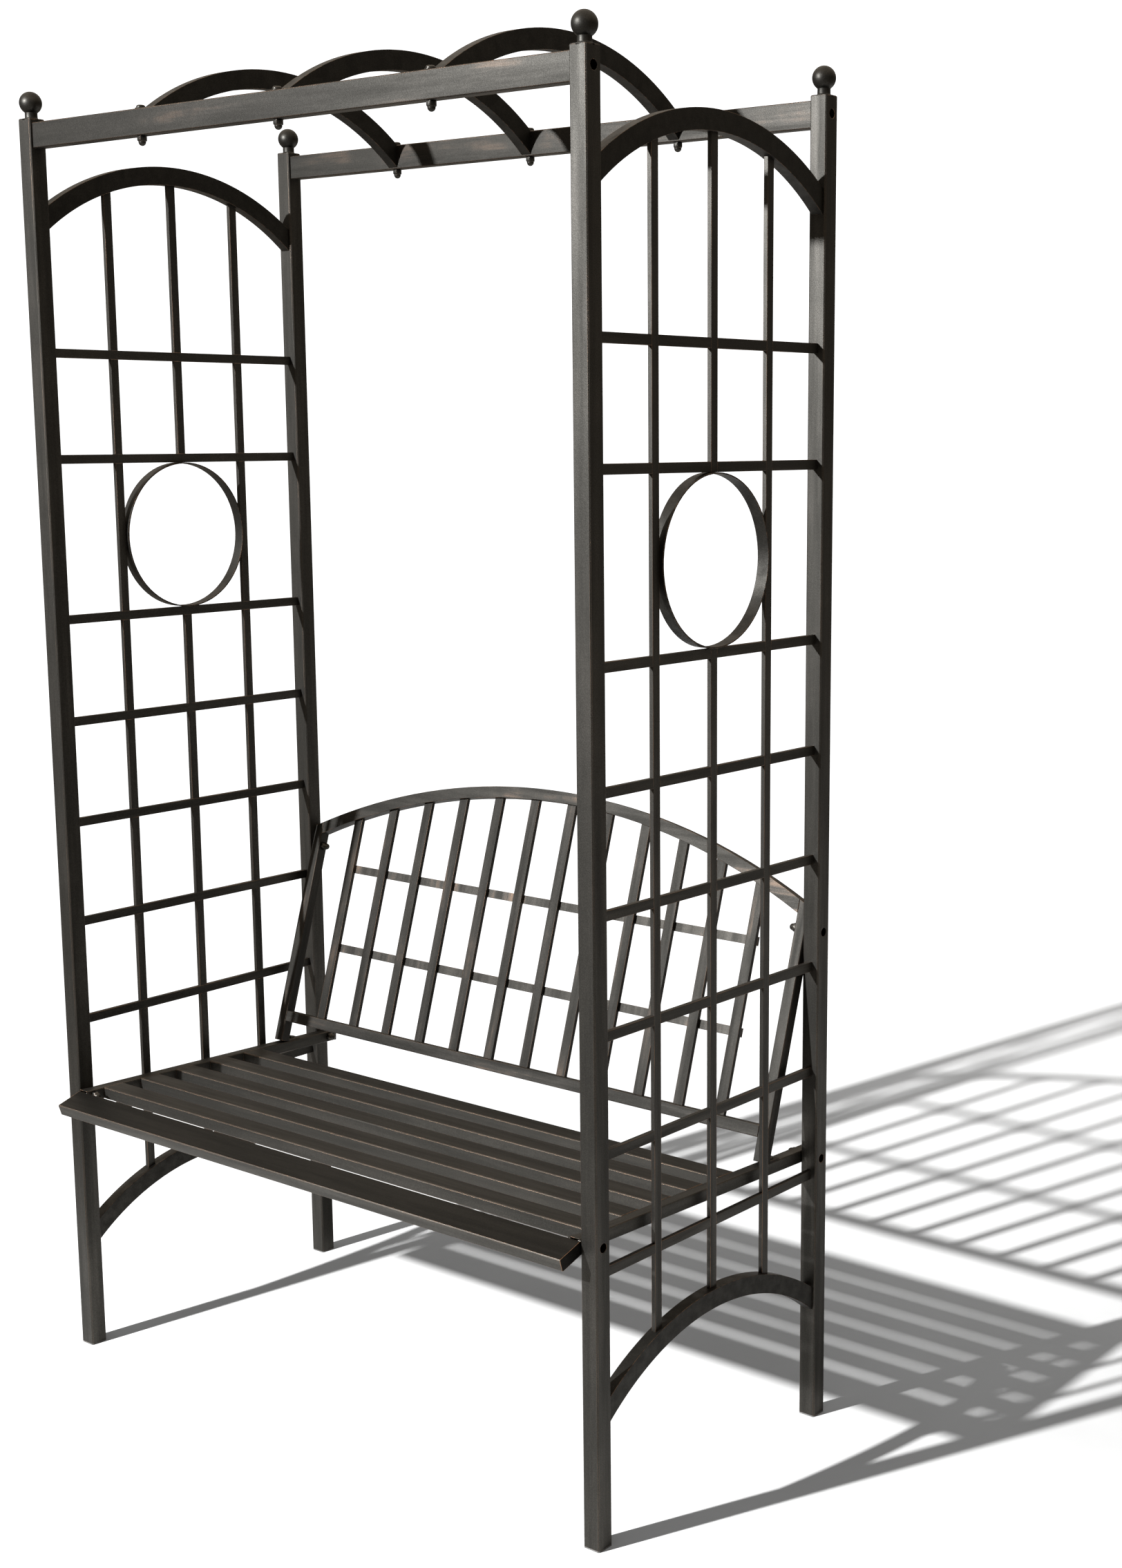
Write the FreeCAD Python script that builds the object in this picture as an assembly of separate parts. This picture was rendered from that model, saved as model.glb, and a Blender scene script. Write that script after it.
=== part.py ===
import FreeCAD, Part
import math
import os

# Arbour seat of bolted and welded steel tube.
# Millimetres. X runs along the seat, -Y is the open front, +Z is up.
# The pieces are drawn with Y = 0 on the front faces of the front posts and Z = 0 on the ground.
# When they are written out they slide along Y, so that the origin is the bottom centre of the whole.

# Driving sizes: the four posts
OVERALL_WIDTH = 1210.0
OVERALL_DEPTH = 575.0
POST_HEIGHT = 2100.0
POST_SIDE = 30.0
POST_WALL = 1.2
POST_CORNER = 2.0
INSERT_CLEARANCE = 0.3
FOOT_FLANGE = 2.0
FOOT_PLUG_HEIGHT = 18.0

# Driving sizes: finials
CAP_PLATE = 2.5
CAP_PLUG_HEIGHT = 12.0
NECK_DIAMETER = 20.0
NECK_FLARE = 2.5
BALL_DIAMETER = 36.0
BALL_CUTS = 7
BALL_SIDES = 16
FINIAL_HEIGHT = 43.0

# Driving sizes: top rails
TOP_RAIL_HEIGHT = 40.0
TOP_RAIL_DEPTH = 20.0
TOP_RAIL_WALL = 1.0
TOP_RAIL_DROP = 8.0
END_PLATE = 5.0

# Driving sizes: the seven curved tubes of the roof and sides
ARCH_RADIUS = 435.0
ARCH_BAND = 30.0
ARCH_WIDTH = 20.0
ARCH_WALL = 1.2
ROOF_ARCH_PITCH = 312.0
ROOF_ARCH_PROUD = 1.0
ROOF_ARCH_PLATE = 3.0
UPPER_ARCH_DROP = 52.0
LOWER_ARCH_CROWN = 310.0
TONGUE_THICK = 5.0
TONGUE_WIDTH = 14.0
TONGUE_CLEARANCE = 0.4

# Driving sizes: side trellis
BAR_WIDTH = 15.0
BAR_THICK = 7.0
LOWEST_BAR = 417.0
BAR_PITCH = 174.0
LOWER_BARS = 6
RING_DIAMETER = 253.0
RING_STRIP = 2.0
RING_WIDTH = 20.0

# Driving sizes: seat
SEAT_TOP = 473.0
SEAT_SLOPE = 2.0
SEAT_TUBE = 20.0
SEAT_WALL = 1.0
SEAT_RAIL_PROUD = 1.0
SLAT_COUNT = 5
SLAT_WIDTH = 40.0
SLAT_HEIGHT = 20.0
SLAT_PITCH = 78.0
FIRST_SLAT = 36.5
BOARD_WIDTH = 48.0
BOARD_HEIGHT = 20.0
BOARD_TILT = 17.5
BOARD_BACK = 1.0
BOARD_DROP = 2.5
PLUG_BULGE = 6.0
PLUG_DEPTH = 8.0

# Driving sizes: back, along its own lean from the bolts in the rear posts
BACK_BOLT_RISE = 347.0
BACK_LEAN = 17.0
BACK_TUBE = 20.0
BACK_WALL = 1.0
BACK_CROWN = 165.0
BACK_CURVE_RISE = 119.5
BACK_RAIL_RISE = 37.5
BACK_SLAT_COUNT = 12
BACK_SLAT_WIDTH = 19.0
BACK_SLAT_THICK = 7.0
BACK_BAR_WIDTH = 15.0
BACK_BAR_THICK = 5.0
UPPER_BACK_BAR = -33.0
LOWER_BACK_BAR = -183.5
TAB_LENGTH = 26.0
TAB_THICK = 3.0

# Driving sizes: bevels that stand for the rounded corners of the straight slim tubes
SLIM_CORNER = 1.2

# Driving sizes: fasteners
BOLT = 8.0
BOLT_CLEARANCE = 0.3
BOLT_HEAD = 13.0
BOLT_HEAD_HEIGHT = 7.0
BOLT_SOCKET = 6.0
ACCESS_CLEARANCE = 0.5
DOME_HEAD = 14.0
DOME_HEAD_HEIGHT = 5.0
DOME_SOCKET = 5.0
WASHER = 18.0
WASHER_THICK = 1.6
NUT_FLATS = 13.0
NUT_HEX_HEIGHT = 8.0
NUT_HEIGHT = 15.0
NUT_DOME = 11.6
NUT_THREAD = 8.5
NUT_BORE_DEPTH = 10.0
SCREW = 5.5
SCREW_HEAD = 11.0
SCREW_HEAD_HEIGHT = 3.5
SCREW_SOCKET = 3.5
SCREW_LENGTH = 14.0
SOCKET_SHARE = 0.55
DOME_SHARE = 0.65

# Small round pieces, holes and the inside of curved tubes are drawn with flats, to keep the facets few
ACCESS_SIDES = 12
HEAD_SIDES = 8
SHAFT_SIDES = 6
HOLLOW_STEPS = 12

# Directions
ORIGIN = FreeCAD.Vector(0, 0, 0)
ALONG_X = FreeCAD.Vector(1, 0, 0)
ALONG_Y = FreeCAD.Vector(0, 1, 0)
UP = FreeCAD.Vector(0, 0, 1)

# Places of the posts and top rails
HALF_WIDTH = OVERALL_WIDTH / 2
POST_X = HALF_WIDTH - POST_SIDE / 2
INNER_X = HALF_WIDTH - POST_SIDE
FRONT_Y = POST_SIDE / 2
MIDDLE_Y = OVERALL_DEPTH / 2
REAR_Y = OVERALL_DEPTH - POST_SIDE / 2
TOP_RAIL_TOP = POST_HEIGHT - TOP_RAIL_DROP
TOP_RAIL_BOTTOM = TOP_RAIL_TOP - TOP_RAIL_HEIGHT
TOP_RAIL_MID = TOP_RAIL_TOP - TOP_RAIL_HEIGHT / 2
TOP_RAIL_FACE = FRONT_Y + TOP_RAIL_DEPTH / 2

# Heights of the centres of the arches
ROOF_HALF_SPAN = MIDDLE_Y - TOP_RAIL_FACE
ROOF_ARCH_RISE = math.sqrt(ARCH_RADIUS ** 2 - ROOF_HALF_SPAN ** 2)
ROOF_CENTRE_Z = TOP_RAIL_TOP + ROOF_ARCH_PROUD - ROOF_ARCH_RISE
UPPER_CENTRE_Z = POST_HEIGHT - UPPER_ARCH_DROP - ARCH_RADIUS
LOWER_CENTRE_Z = LOWER_ARCH_CROWN - ARCH_RADIUS

# Places on the trellis
RING_FLOOR = LOWEST_BAR + (LOWER_BARS - 1) * BAR_PITCH
RING_ROOF = RING_FLOOR + BAR_WIDTH + RING_DIAMETER
RING_Z = (RING_FLOOR + RING_ROOF) / 2
BAR_HEIGHTS = [LOWEST_BAR + step * BAR_PITCH for step in range(LOWER_BARS)]
BAR_HEIGHTS += [RING_ROOF, RING_ROOF + BAR_PITCH]
UPRIGHT_OFFSET = (RING_DIAMETER + BAR_WIDTH) / 2

# Places on the seat
SEAT_ANGLE = math.radians(SEAT_SLOPE)
SEAT_INNER_X = INNER_X - SEAT_TUBE
SEAT_RAIL_END = OVERALL_DEPTH + SEAT_RAIL_PROUD
SEAT_FRAME = FreeCAD.Placement(FreeCAD.Vector(0, 0, SEAT_TOP), FreeCAD.Rotation(ALONG_X, -SEAT_SLOPE))
BOARD_EDGE = FreeCAD.Vector(0, BOARD_BACK, SEAT_TOP - BOARD_DROP - BOARD_BACK * math.tan(SEAT_ANGLE))
BOARD_FRAME = FreeCAD.Placement(BOARD_EDGE, FreeCAD.Rotation(ALONG_X, BOARD_TILT))

# Places on the back: its foot stands with the rear lower corner on the seat rail
BACK_ANGLE = math.radians(BACK_LEAN)
BACK_HALF = BACK_TUBE / 2
BACK_INNER_X = INNER_X - BACK_TUBE
BACK_BOLT_Z = SEAT_TOP + BACK_BOLT_RISE
BACK_RADIUS = (BACK_INNER_X ** 2 + BACK_CURVE_RISE ** 2) / (2 * BACK_CURVE_RISE)
BACK_FRAME = FreeCAD.Placement(
    FreeCAD.Vector(0, REAR_Y, BACK_BOLT_Z), FreeCAD.Rotation(ALONG_X, -BACK_LEAN)
)
CORNER_DROP = BACK_BOLT_RISE + math.tan(SEAT_ANGLE) * (REAR_Y + BACK_HALF * math.cos(BACK_ANGLE))
CORNER_DROP -= BACK_HALF * math.sin(BACK_ANGLE)
BACK_FOOT = -CORNER_DROP / (math.cos(BACK_ANGLE) + math.tan(SEAT_ANGLE) * math.sin(BACK_ANGLE))
CORNER_Y = REAR_Y + BACK_HALF * math.cos(BACK_ANGLE) + BACK_FOOT * math.sin(BACK_ANGLE)
TAB_START = CORNER_Y / math.cos(SEAT_ANGLE)
SCREW_Y = TAB_START + TAB_LENGTH / 2
BACK_CENTRE = FreeCAD.Vector(0, 0, BACK_CROWN - BACK_RADIUS)
BACK_RAIL_BOTTOM = BACK_FOOT + BACK_RAIL_RISE
BACK_RAIL_TOP = BACK_RAIL_BOTTOM + BACK_TUBE
BACK_SLAT_PITCH = 2 * BACK_INNER_X / (BACK_SLAT_COUNT + 1)


def vec(x, y, z):
    return FreeCAD.Vector(x, y, z)


def block(low, high):
    """A box between two opposite corners."""
    size = high - low
    return Part.makeBox(size.x, size.y, size.z, low)


def bevelled_bar(low, high, axis, corner):
    """A box whose four edges along the axis are bevelled."""
    bar = block(low, high)
    edges = [edge for edge in bar.Edges if abs(edge.tangentAt(edge.FirstParameter).dot(axis)) > 0.5]
    return bar.makeChamfer(corner, edges)


def tube(low, high, axis, wall, corner, plate=0.0):
    """A rectangular tube along the axis, open at the ends or closed by plates."""
    inset = vec(wall, wall, wall) + axis * (plate - wall)
    return bevelled_bar(low, high, axis, corner).cut(block(low + inset, high - inset))


def polygon(sides, across, z):
    """A closed outline at a height on the Z axis, measured across its flats."""
    reach = across / 2 / math.cos(math.pi / sides)
    turns = [2 * math.pi * corner / sides for corner in range(sides)]
    corners = [vec(reach * math.cos(turn), reach * math.sin(turn), z) for turn in turns]
    return Part.makePolygon(corners + corners[:1])


def prism(sides, across, bottom, top):
    """An upright prism on the Z axis, measured across its flats."""
    return Part.Face(polygon(sides, across, bottom)).extrude(vec(0, 0, top - bottom))


def stacked(rings):
    """A closed solid through outlines of equal corner counts, with flat faces between them."""
    faces = [Part.Face(rings[0]), Part.Face(rings[-1])]
    for lower, upper in zip(rings, rings[1:]):
        for low_edge, high_edge in zip(lower.OrderedEdges, upper.OrderedEdges):
            start, end = [vertex.Point for vertex in low_edge.Vertexes]
            above_start, above_end = [vertex.Point for vertex in high_edge.Vertexes]
            faces.append(Part.Face(Part.makePolygon([start, end, above_end, above_start, start])))
    return Part.makeSolid(Part.makeShell(faces))


def rod(diameter, start, end, sides=SHAFT_SIDES):
    """A small shaft, or the cutter for a small hole, between two points."""
    along = end - start
    return aimed(prism(sides, diameter, 0, along.Length), start, along)


def disc(radius, centre, axis, thickness):
    """A true cylinder whose middle is the centre."""
    return Part.makeCylinder(radius, thickness, centre - axis * (thickness / 2), axis)


def hoop(radius, band, width, centre, axis):
    """A full ring of flat band whose flat sides face along the axis."""
    return disc(radius, centre, axis, width).cut(disc(radius - band, centre, axis, width))


def hollow(radius, band, width, wall, centre, axis, reach):
    """The space inside a curved tube, in straight lengths, to a distance each side of its middle."""
    side = axis.cross(UP)
    half_turn = math.asin(reach / (radius - band))
    step = 2 * half_turn / HOLLOW_STEPS
    turns = [number * step - half_turn for number in range(HOLLOW_STEPS + 1)]
    spokes = [side * math.sin(turn) + UP * math.cos(turn) for turn in turns]
    start = centre - axis * (width / 2 - wall)
    inner_radius = (radius - band + wall) / math.cos(step / 2)
    outline = [start + spoke * (radius - wall) for spoke in spokes]
    outline += [start + spoke * inner_radius for spoke in reversed(spokes)]
    return Part.Face(Part.makePolygon(outline + outline[:1])).extrude(axis * (width - 2 * wall))


def aimed(shape, base, direction):
    """A shape drawn up the Z axis, moved to a base and pointed along a direction."""
    placed = shape.copy()
    placed.Placement = FreeCAD.Placement(base, FreeCAD.Rotation(UP, direction))
    return placed


def framed(shape, frame):
    """A shape drawn in the sloping frame of the seat, board or back, moved to its real place."""
    placed = shape.copy()
    placed.Placement = frame.multiply(shape.Placement)
    return placed


def left_of(shape):
    """The left-hand twin of a right-hand piece."""
    return shape.mirror(ORIGIN, ALONG_X)


def rear_of(shape):
    """The rear twin of a front piece."""
    return shape.mirror(vec(0, MIDDLE_Y, 0), ALONG_Y)


def seat_bolt_z(y):
    """Height of the middle of a seat rail at a distance behind the front faces."""
    return SEAT_TOP - y * math.tan(SEAT_ANGLE) - SEAT_TUBE / 2 / math.cos(SEAT_ANGLE)


# Posts, finials and feet

def post(y, bolt_heights):
    """A right-hand post, with a small hole inside and an access hole outside for each bolt."""
    half = POST_SIDE / 2
    low = vec(POST_X - half, y - half, FOOT_FLANGE)
    high = vec(POST_X + half, y + half, POST_HEIGHT - CAP_PLATE)
    shape = tube(low, high, UP, POST_WALL, POST_CORNER)
    for z in bolt_heights:
        middle = vec(POST_X, y, z)
        bolt_hole = rod(BOLT + 2 * BOLT_CLEARANCE, vec(INNER_X, y, z), middle)
        access = rod(BOLT_HEAD + 2 * ACCESS_CLEARANCE, middle, vec(HALF_WIDTH, y, z), ACCESS_SIDES)
        shape = shape.cut([bolt_hole, access])
    return shape


def post_plug(y, z0, z1):
    """The part of an insert that fits inside the end of a post."""
    half = POST_SIDE / 2 - POST_WALL - INSERT_CLEARANCE
    return block(vec(POST_X - half, y - half, z0), vec(POST_X + half, y + half, z1))


def post_plate(y, z0, z1):
    """The part of an insert that covers the end of a post."""
    half = POST_SIDE / 2
    return bevelled_bar(vec(POST_X - half, y - half, z0), vec(POST_X + half, y + half, z1), UP, POST_CORNER)


def ball_on_neck():
    """The neck and ball of a finial, standing on Z = 0, stacked from many-sided rings."""
    neck = NECK_DIAMETER / 2
    ball = BALL_DIAMETER / 2
    ball_z = FINIAL_HEIGHT - ball
    first_turn = math.pi - math.asin(neck / ball)
    outline = [(neck + NECK_FLARE, 0), (neck, NECK_FLARE)]
    for cut in range(BALL_CUTS):
        turn = first_turn * (1 - cut / BALL_CUTS)
        outline.append((ball * math.sin(turn), ball_z + ball * math.cos(turn)))
    rings = [polygon(BALL_SIDES, 2 * radius, z) for radius, z in outline]
    return stacked(rings)


def finial(y):
    plate_bottom = POST_HEIGHT - CAP_PLATE
    ball = ball_on_neck().translated(vec(POST_X, y, POST_HEIGHT))
    plug = post_plug(y, plate_bottom - CAP_PLUG_HEIGHT, plate_bottom)
    return post_plate(y, plate_bottom, POST_HEIGHT).fuse([ball, plug])


def foot_insert(y):
    plug = post_plug(y, FOOT_FLANGE, FOOT_FLANGE + FOOT_PLUG_HEIGHT)
    return post_plate(y, 0, FOOT_FLANGE).fuse(plug)


# Top rails and arches

def top_rail():
    """The front top rail, with threaded end plates, slots for the tongues and holes for their bolts."""
    back = TOP_RAIL_FACE
    front = TOP_RAIL_FACE - TOP_RAIL_DEPTH
    low = vec(-INNER_X, front, TOP_RAIL_BOTTOM)
    high = vec(INNER_X, back, TOP_RAIL_TOP)
    shape = tube(low, high, ALONG_X, TOP_RAIL_WALL, SLIM_CORNER, END_PLATE)
    thread = rod(BOLT, vec(INNER_X - END_PLATE, FRONT_Y, TOP_RAIL_MID), vec(INNER_X, FRONT_Y, TOP_RAIL_MID))
    shape = shape.cut([thread, left_of(thread)])
    slot = vec(TONGUE_WIDTH / 2 + TONGUE_CLEARANCE, 0, TONGUE_THICK / 2 + TONGUE_CLEARANCE)
    for x in roof_arch_places():
        inside = vec(x, FRONT_Y, TOP_RAIL_MID) - slot
        outside = vec(x, back, TOP_RAIL_MID) + slot
        drill = rod(BOLT + 2 * BOLT_CLEARANCE, vec(x, FRONT_Y, TOP_RAIL_BOTTOM), vec(x, FRONT_Y, TOP_RAIL_TOP))
        shape = shape.cut([block(inside, outside), drill])
    return shape


def roof_arch_places():
    return [-ROOF_ARCH_PITCH, 0, ROOF_ARCH_PITCH]


def arch(x, centre_z, face_y, plate):
    """A curved tube across the depth, cut upright at its ends, which are open or closed by plates."""
    centre = vec(x, MIDDLE_Y, centre_z)
    half_span = MIDDLE_Y - face_y
    low = centre - vec(ARCH_WIDTH / 2, half_span, 0)
    high = centre + vec(ARCH_WIDTH / 2, half_span, ARCH_RADIUS)
    outside = hoop(ARCH_RADIUS, ARCH_BAND, ARCH_WIDTH, centre, ALONG_X).common(block(low, high))
    inside = hollow(ARCH_RADIUS, ARCH_BAND, ARCH_WIDTH, ARCH_WALL, centre, ALONG_X, half_span)
    ends = ALONG_Y * plate
    return outside.cut(inside.common(block(low + ends, high - ends)))


def tongue(x):
    """The drilled plate that reaches from an arch's front end into the top rail."""
    half_width = TONGUE_WIDTH / 2
    half_thick = TONGUE_THICK / 2
    low = vec(x - half_width, FRONT_Y - half_width, TOP_RAIL_MID - half_thick)
    high = vec(x + half_width, TOP_RAIL_FACE + ROOF_ARCH_PLATE / 2, TOP_RAIL_MID + half_thick)
    drill = rod(BOLT + 2 * BOLT_CLEARANCE, vec(x, FRONT_Y, low.z), vec(x, FRONT_Y, high.z))
    return block(low, high).cut(drill)


def roof_arch(x):
    front = tongue(x)
    return arch(x, ROOF_CENTRE_Z, TOP_RAIL_FACE, ROOF_ARCH_PLATE).fuse([front, rear_of(front)])


# Side trellis

def side_arch(centre_z):
    return arch(POST_X, centre_z, POST_SIDE, 0)


def above_upper_arch():
    """The space over the inner curve of the upper arch, which the uprights stop at."""
    low = vec(POST_X - ARCH_WIDTH, 0, UPPER_CENTRE_Z)
    high = vec(POST_X + ARCH_WIDTH, OVERALL_DEPTH, POST_HEIGHT)
    centre = vec(POST_X, MIDDLE_Y, UPPER_CENTRE_Z)
    return block(low, high).cut(disc(ARCH_RADIUS - ARCH_BAND, centre, ALONG_X, 2 * ARCH_WIDTH))


def under_lower_arch():
    """The space under the outer curve of the lower arch."""
    return disc(ARCH_RADIUS, vec(POST_X, MIDDLE_Y, LOWER_CENTRE_Z), ALONG_X, 2 * ARCH_WIDTH)


def upright(y, z0, z1):
    """A flat bar up the trellis, halved on its inner face over every crossbar."""
    low = vec(POST_X - BAR_THICK / 2, y - BAR_WIDTH / 2, z0)
    high = vec(POST_X + BAR_THICK / 2, y + BAR_WIDTH / 2, z1)
    halvings = []
    for z in BAR_HEIGHTS:
        halvings.append(block(vec(low.x, low.y, z - BAR_WIDTH / 2), vec(POST_X, high.y, z + BAR_WIDTH / 2)))
    ends = [above_upper_arch(), under_lower_arch()]
    return block(low, high).cut(halvings + ends)


def long_upright(y):
    return upright(y, LOWER_CENTRE_Z, UPPER_CENTRE_Z + ARCH_RADIUS)


def centre_upright():
    """The centre upright, in two lengths that end at the bars below and above the ring."""
    lower = upright(MIDDLE_Y, LOWER_CENTRE_Z, RING_FLOOR + BAR_WIDTH / 2)
    upper = upright(MIDDLE_Y, RING_ROOF - BAR_WIDTH / 2, UPPER_CENTRE_Z + ARCH_RADIUS)
    return Part.makeCompound([lower, upper])


def crossbar(z):
    """A flat bar from post to post, halved on its outer face under every upright."""
    low = vec(POST_X - BAR_THICK / 2, POST_SIDE, z - BAR_WIDTH / 2)
    high = vec(POST_X + BAR_THICK / 2, OVERALL_DEPTH - POST_SIDE, z + BAR_WIDTH / 2)
    halvings = []
    for y in (MIDDLE_Y - UPRIGHT_OFFSET, MIDDLE_Y, MIDDLE_Y + UPRIGHT_OFFSET):
        halvings.append(block(vec(POST_X, y - BAR_WIDTH / 2, low.z), vec(high.x, y + BAR_WIDTH / 2, high.z)))
    return block(low, high).cut(halvings)


def crossbars():
    return Part.makeCompound([crossbar(z) for z in BAR_HEIGHTS])


def trellis_ring():
    return hoop(RING_DIAMETER / 2, RING_STRIP, RING_WIDTH, vec(POST_X, MIDDLE_Y, RING_Z), ALONG_X)


# Seat, drawn with its top faces on Z = 0 of the sloping seat frame

def seat_rail():
    """A side rail, cut to the slant of the front board and drilled for its bolts and screw."""
    low = vec(SEAT_INNER_X, -BOARD_WIDTH, -SEAT_TUBE)
    high = vec(INNER_X, SEAT_RAIL_END, 0)
    rail = tube(low, high, ALONG_Y, SEAT_WALL, SLIM_CORNER)
    screw_x = INNER_X - SEAT_TUBE / 2
    screw_hole = rod(SCREW, vec(screw_x, SCREW_Y, -SEAT_TUBE / 2), vec(screw_x, SCREW_Y, 0))
    rail = framed(rail.cut(screw_hole), SEAT_FRAME)
    ahead = block(vec(0, -2 * BOARD_WIDTH, -BOARD_WIDTH), vec(HALF_WIDTH, 0, BOARD_WIDTH))
    bolts = [rod(BOLT + 2 * BOLT_CLEARANCE, vec(SEAT_INNER_X, y, z), vec(INNER_X, y, z)) for y, z in seat_bolts()]
    return rail.cut([framed(ahead, BOARD_FRAME)] + bolts)


def seat_bolts():
    return [(y, seat_bolt_z(y)) for y in (FRONT_Y, REAR_Y)]


def seat_slat(number):
    start = FIRST_SLAT + number * SLAT_PITCH
    low = vec(-SEAT_INNER_X, start, -SLAT_HEIGHT)
    high = vec(SEAT_INNER_X, start + SLAT_WIDTH, 0)
    return framed(tube(low, high, ALONG_X, SEAT_WALL, SLIM_CORNER), SEAT_FRAME)


def seat_front_board():
    low = vec(-INNER_X, -BOARD_WIDTH, -BOARD_HEIGHT)
    high = vec(INNER_X, 0, 0)
    return framed(tube(low, high, ALONG_X, SEAT_WALL, SLIM_CORNER, SEAT_WALL), BOARD_FRAME)


def seat_rail_plug():
    """A plug in the rear end of a side rail, its outer edges bevelled deep."""
    low = vec(SEAT_INNER_X, SEAT_RAIL_END, -SEAT_TUBE)
    high = vec(INNER_X, SEAT_RAIL_END + PLUG_BULGE, 0)
    cover = block(low, high)
    rims = [edge for edge in cover.Edges if edge.BoundBox.YMin > SEAT_RAIL_END]
    cover = cover.makeChamfer(PLUG_BULGE / 2, rims)
    inset = vec(SEAT_WALL + INSERT_CLEARANCE, 0, SEAT_WALL + INSERT_CLEARANCE)
    stub = block(low + inset - ALONG_Y * PLUG_DEPTH, high - inset - ALONG_Y * PLUG_BULGE)
    return framed(cover.fuse(stub), SEAT_FRAME)


# Back, drawn in its own leaning frame with the rear post bolts at the origin

def under_back_curve(radius):
    """The disc inside a circle about the centre of the back's curved top."""
    return disc(radius, BACK_CENTRE, ALONG_Y, 2 * BACK_TUBE)


def back_upright():
    """An upright whose closed top follows the curve, with the drilled tab behind its foot."""
    low = vec(BACK_INNER_X, -BACK_HALF, BACK_FOOT)
    high = vec(INNER_X, BACK_HALF, BACK_CROWN)
    outside = bevelled_bar(low, high, UP, SLIM_CORNER).common(under_back_curve(BACK_RADIUS))
    inset = vec(BACK_WALL, BACK_WALL, 0)
    hollow = block(low + inset, high - inset).common(under_back_curve(BACK_RADIUS - BACK_WALL))
    drill = rod(BOLT + 2 * BOLT_CLEARANCE, vec(BACK_INNER_X, 0, 0), vec(INNER_X, 0, 0))
    stem = framed(outside.cut([hollow, drill]), BACK_FRAME)
    tab = block(vec(BACK_INNER_X, TAB_START - TAB_THICK, 0), vec(INNER_X, TAB_START + TAB_LENGTH, TAB_THICK))
    screw_x = INNER_X - SEAT_TUBE / 2
    screw_hole = rod(SCREW, vec(screw_x, SCREW_Y, 0), vec(screw_x, SCREW_Y, TAB_THICK))
    return stem.fuse(framed(tab.cut(screw_hole), SEAT_FRAME))


def back_top_rail():
    """The curved tube between the uprights, open at its ends."""
    low = vec(-BACK_INNER_X, -BACK_HALF, BACK_RAIL_TOP)
    high = vec(BACK_INNER_X, BACK_HALF, BACK_CROWN)
    outside = hoop(BACK_RADIUS, BACK_TUBE, BACK_TUBE, BACK_CENTRE, ALONG_Y)
    inside = hollow(BACK_RADIUS, BACK_TUBE, BACK_TUBE, BACK_WALL, BACK_CENTRE, ALONG_Y, BACK_INNER_X)
    return framed(outside.cut(inside).common(block(low, high)), BACK_FRAME)


def back_bottom_rail():
    low = vec(-BACK_INNER_X, -BACK_HALF, BACK_RAIL_BOTTOM)
    high = vec(BACK_INNER_X, BACK_HALF, BACK_RAIL_TOP)
    return framed(tube(low, high, ALONG_X, BACK_WALL, SLIM_CORNER), BACK_FRAME)


def back_slat_x(number):
    return (number + 1) * BACK_SLAT_PITCH - BACK_INNER_X


def back_slat(number):
    """A flat bar from the bottom rail up to the inner curve of the top rail."""
    half = vec(BACK_SLAT_WIDTH / 2, BACK_SLAT_THICK / 2, 0)
    low = vec(back_slat_x(number), 0, BACK_RAIL_TOP) - half
    high = vec(back_slat_x(number), 0, BACK_CROWN) + half
    slat = block(low, high).common(under_back_curve(BACK_RADIUS - BACK_TUBE))
    return framed(slat, BACK_FRAME)


def back_bar(middle):
    """A flat bar across the rear faces of the slats."""
    reach = BACK_SLAT_WIDTH / 2
    low = vec(back_slat_x(0) - reach, BACK_SLAT_THICK / 2, middle - BACK_BAR_WIDTH / 2)
    high = vec(back_slat_x(BACK_SLAT_COUNT - 1) + reach, low.y + BACK_BAR_THICK, middle + BACK_BAR_WIDTH / 2)
    return framed(block(low, high), BACK_FRAME)


# Fasteners, drawn up the Z axis with the seating face on Z = 0

def bolt(head, shank, length, socket_flats, head_height):
    """A bolt whose head stands above Z = 0, with a hexagon socket in its top."""
    socket = prism(6, socket_flats, head_height * (1 - SOCKET_SHARE), head_height)
    return head.fuse(prism(SHAFT_SIDES, shank, -length, 0)).cut(socket)


def dome(diameter, height, bulge):
    """A round head whose top edge is bevelled by the bulge."""
    head = prism(HEAD_SIDES, diameter, 0, height)
    rim = [edge for edge in head.Edges if edge.BoundBox.ZMin > height / 2]
    return head.makeChamfer(bulge, rim)


def cap_nut():
    """A hexagon nut closed by a dome, its bore open at Z = 0."""
    body = prism(6, NUT_FLATS, 0, NUT_HEX_HEIGHT).fuse(dome(NUT_DOME, NUT_HEIGHT, NUT_DOME / 4))
    return body.cut(prism(SHAFT_SIDES, BOLT, 0, NUT_BORE_DEPTH))


def frame_bolt_places():
    """Where the right-hand frame bolts sit: height and distance back, and the face each one reaches."""
    places = [(y, TOP_RAIL_MID, SEAT_INNER_X) for y in (FRONT_Y, REAR_Y)]
    places += [(y, z, SEAT_INNER_X) for y, z in seat_bolts()]
    places.append((REAR_Y, BACK_BOLT_Z, BACK_INNER_X))
    return places


def frame_bolts():
    """All bolts through the posts, their heads against the inner walls."""
    bearing = INNER_X + POST_WALL
    shapes = []
    for y, z, face in frame_bolt_places():
        head = prism(HEAD_SIDES, BOLT_HEAD, 0, BOLT_HEAD_HEIGHT)
        length = bearing - face + NUT_THREAD
        shape = bolt(head, BOLT, length, BOLT_SOCKET, BOLT_HEAD_HEIGHT)
        shapes.append(aimed(shape, vec(bearing, y, z), ALONG_X))
    return Part.makeCompound(shapes + [left_of(shape) for shape in shapes])


def roof_bolt_places():
    return [vec(x, y, TOP_RAIL_TOP) for y in (FRONT_Y, REAR_Y) for x in roof_arch_places()]


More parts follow.
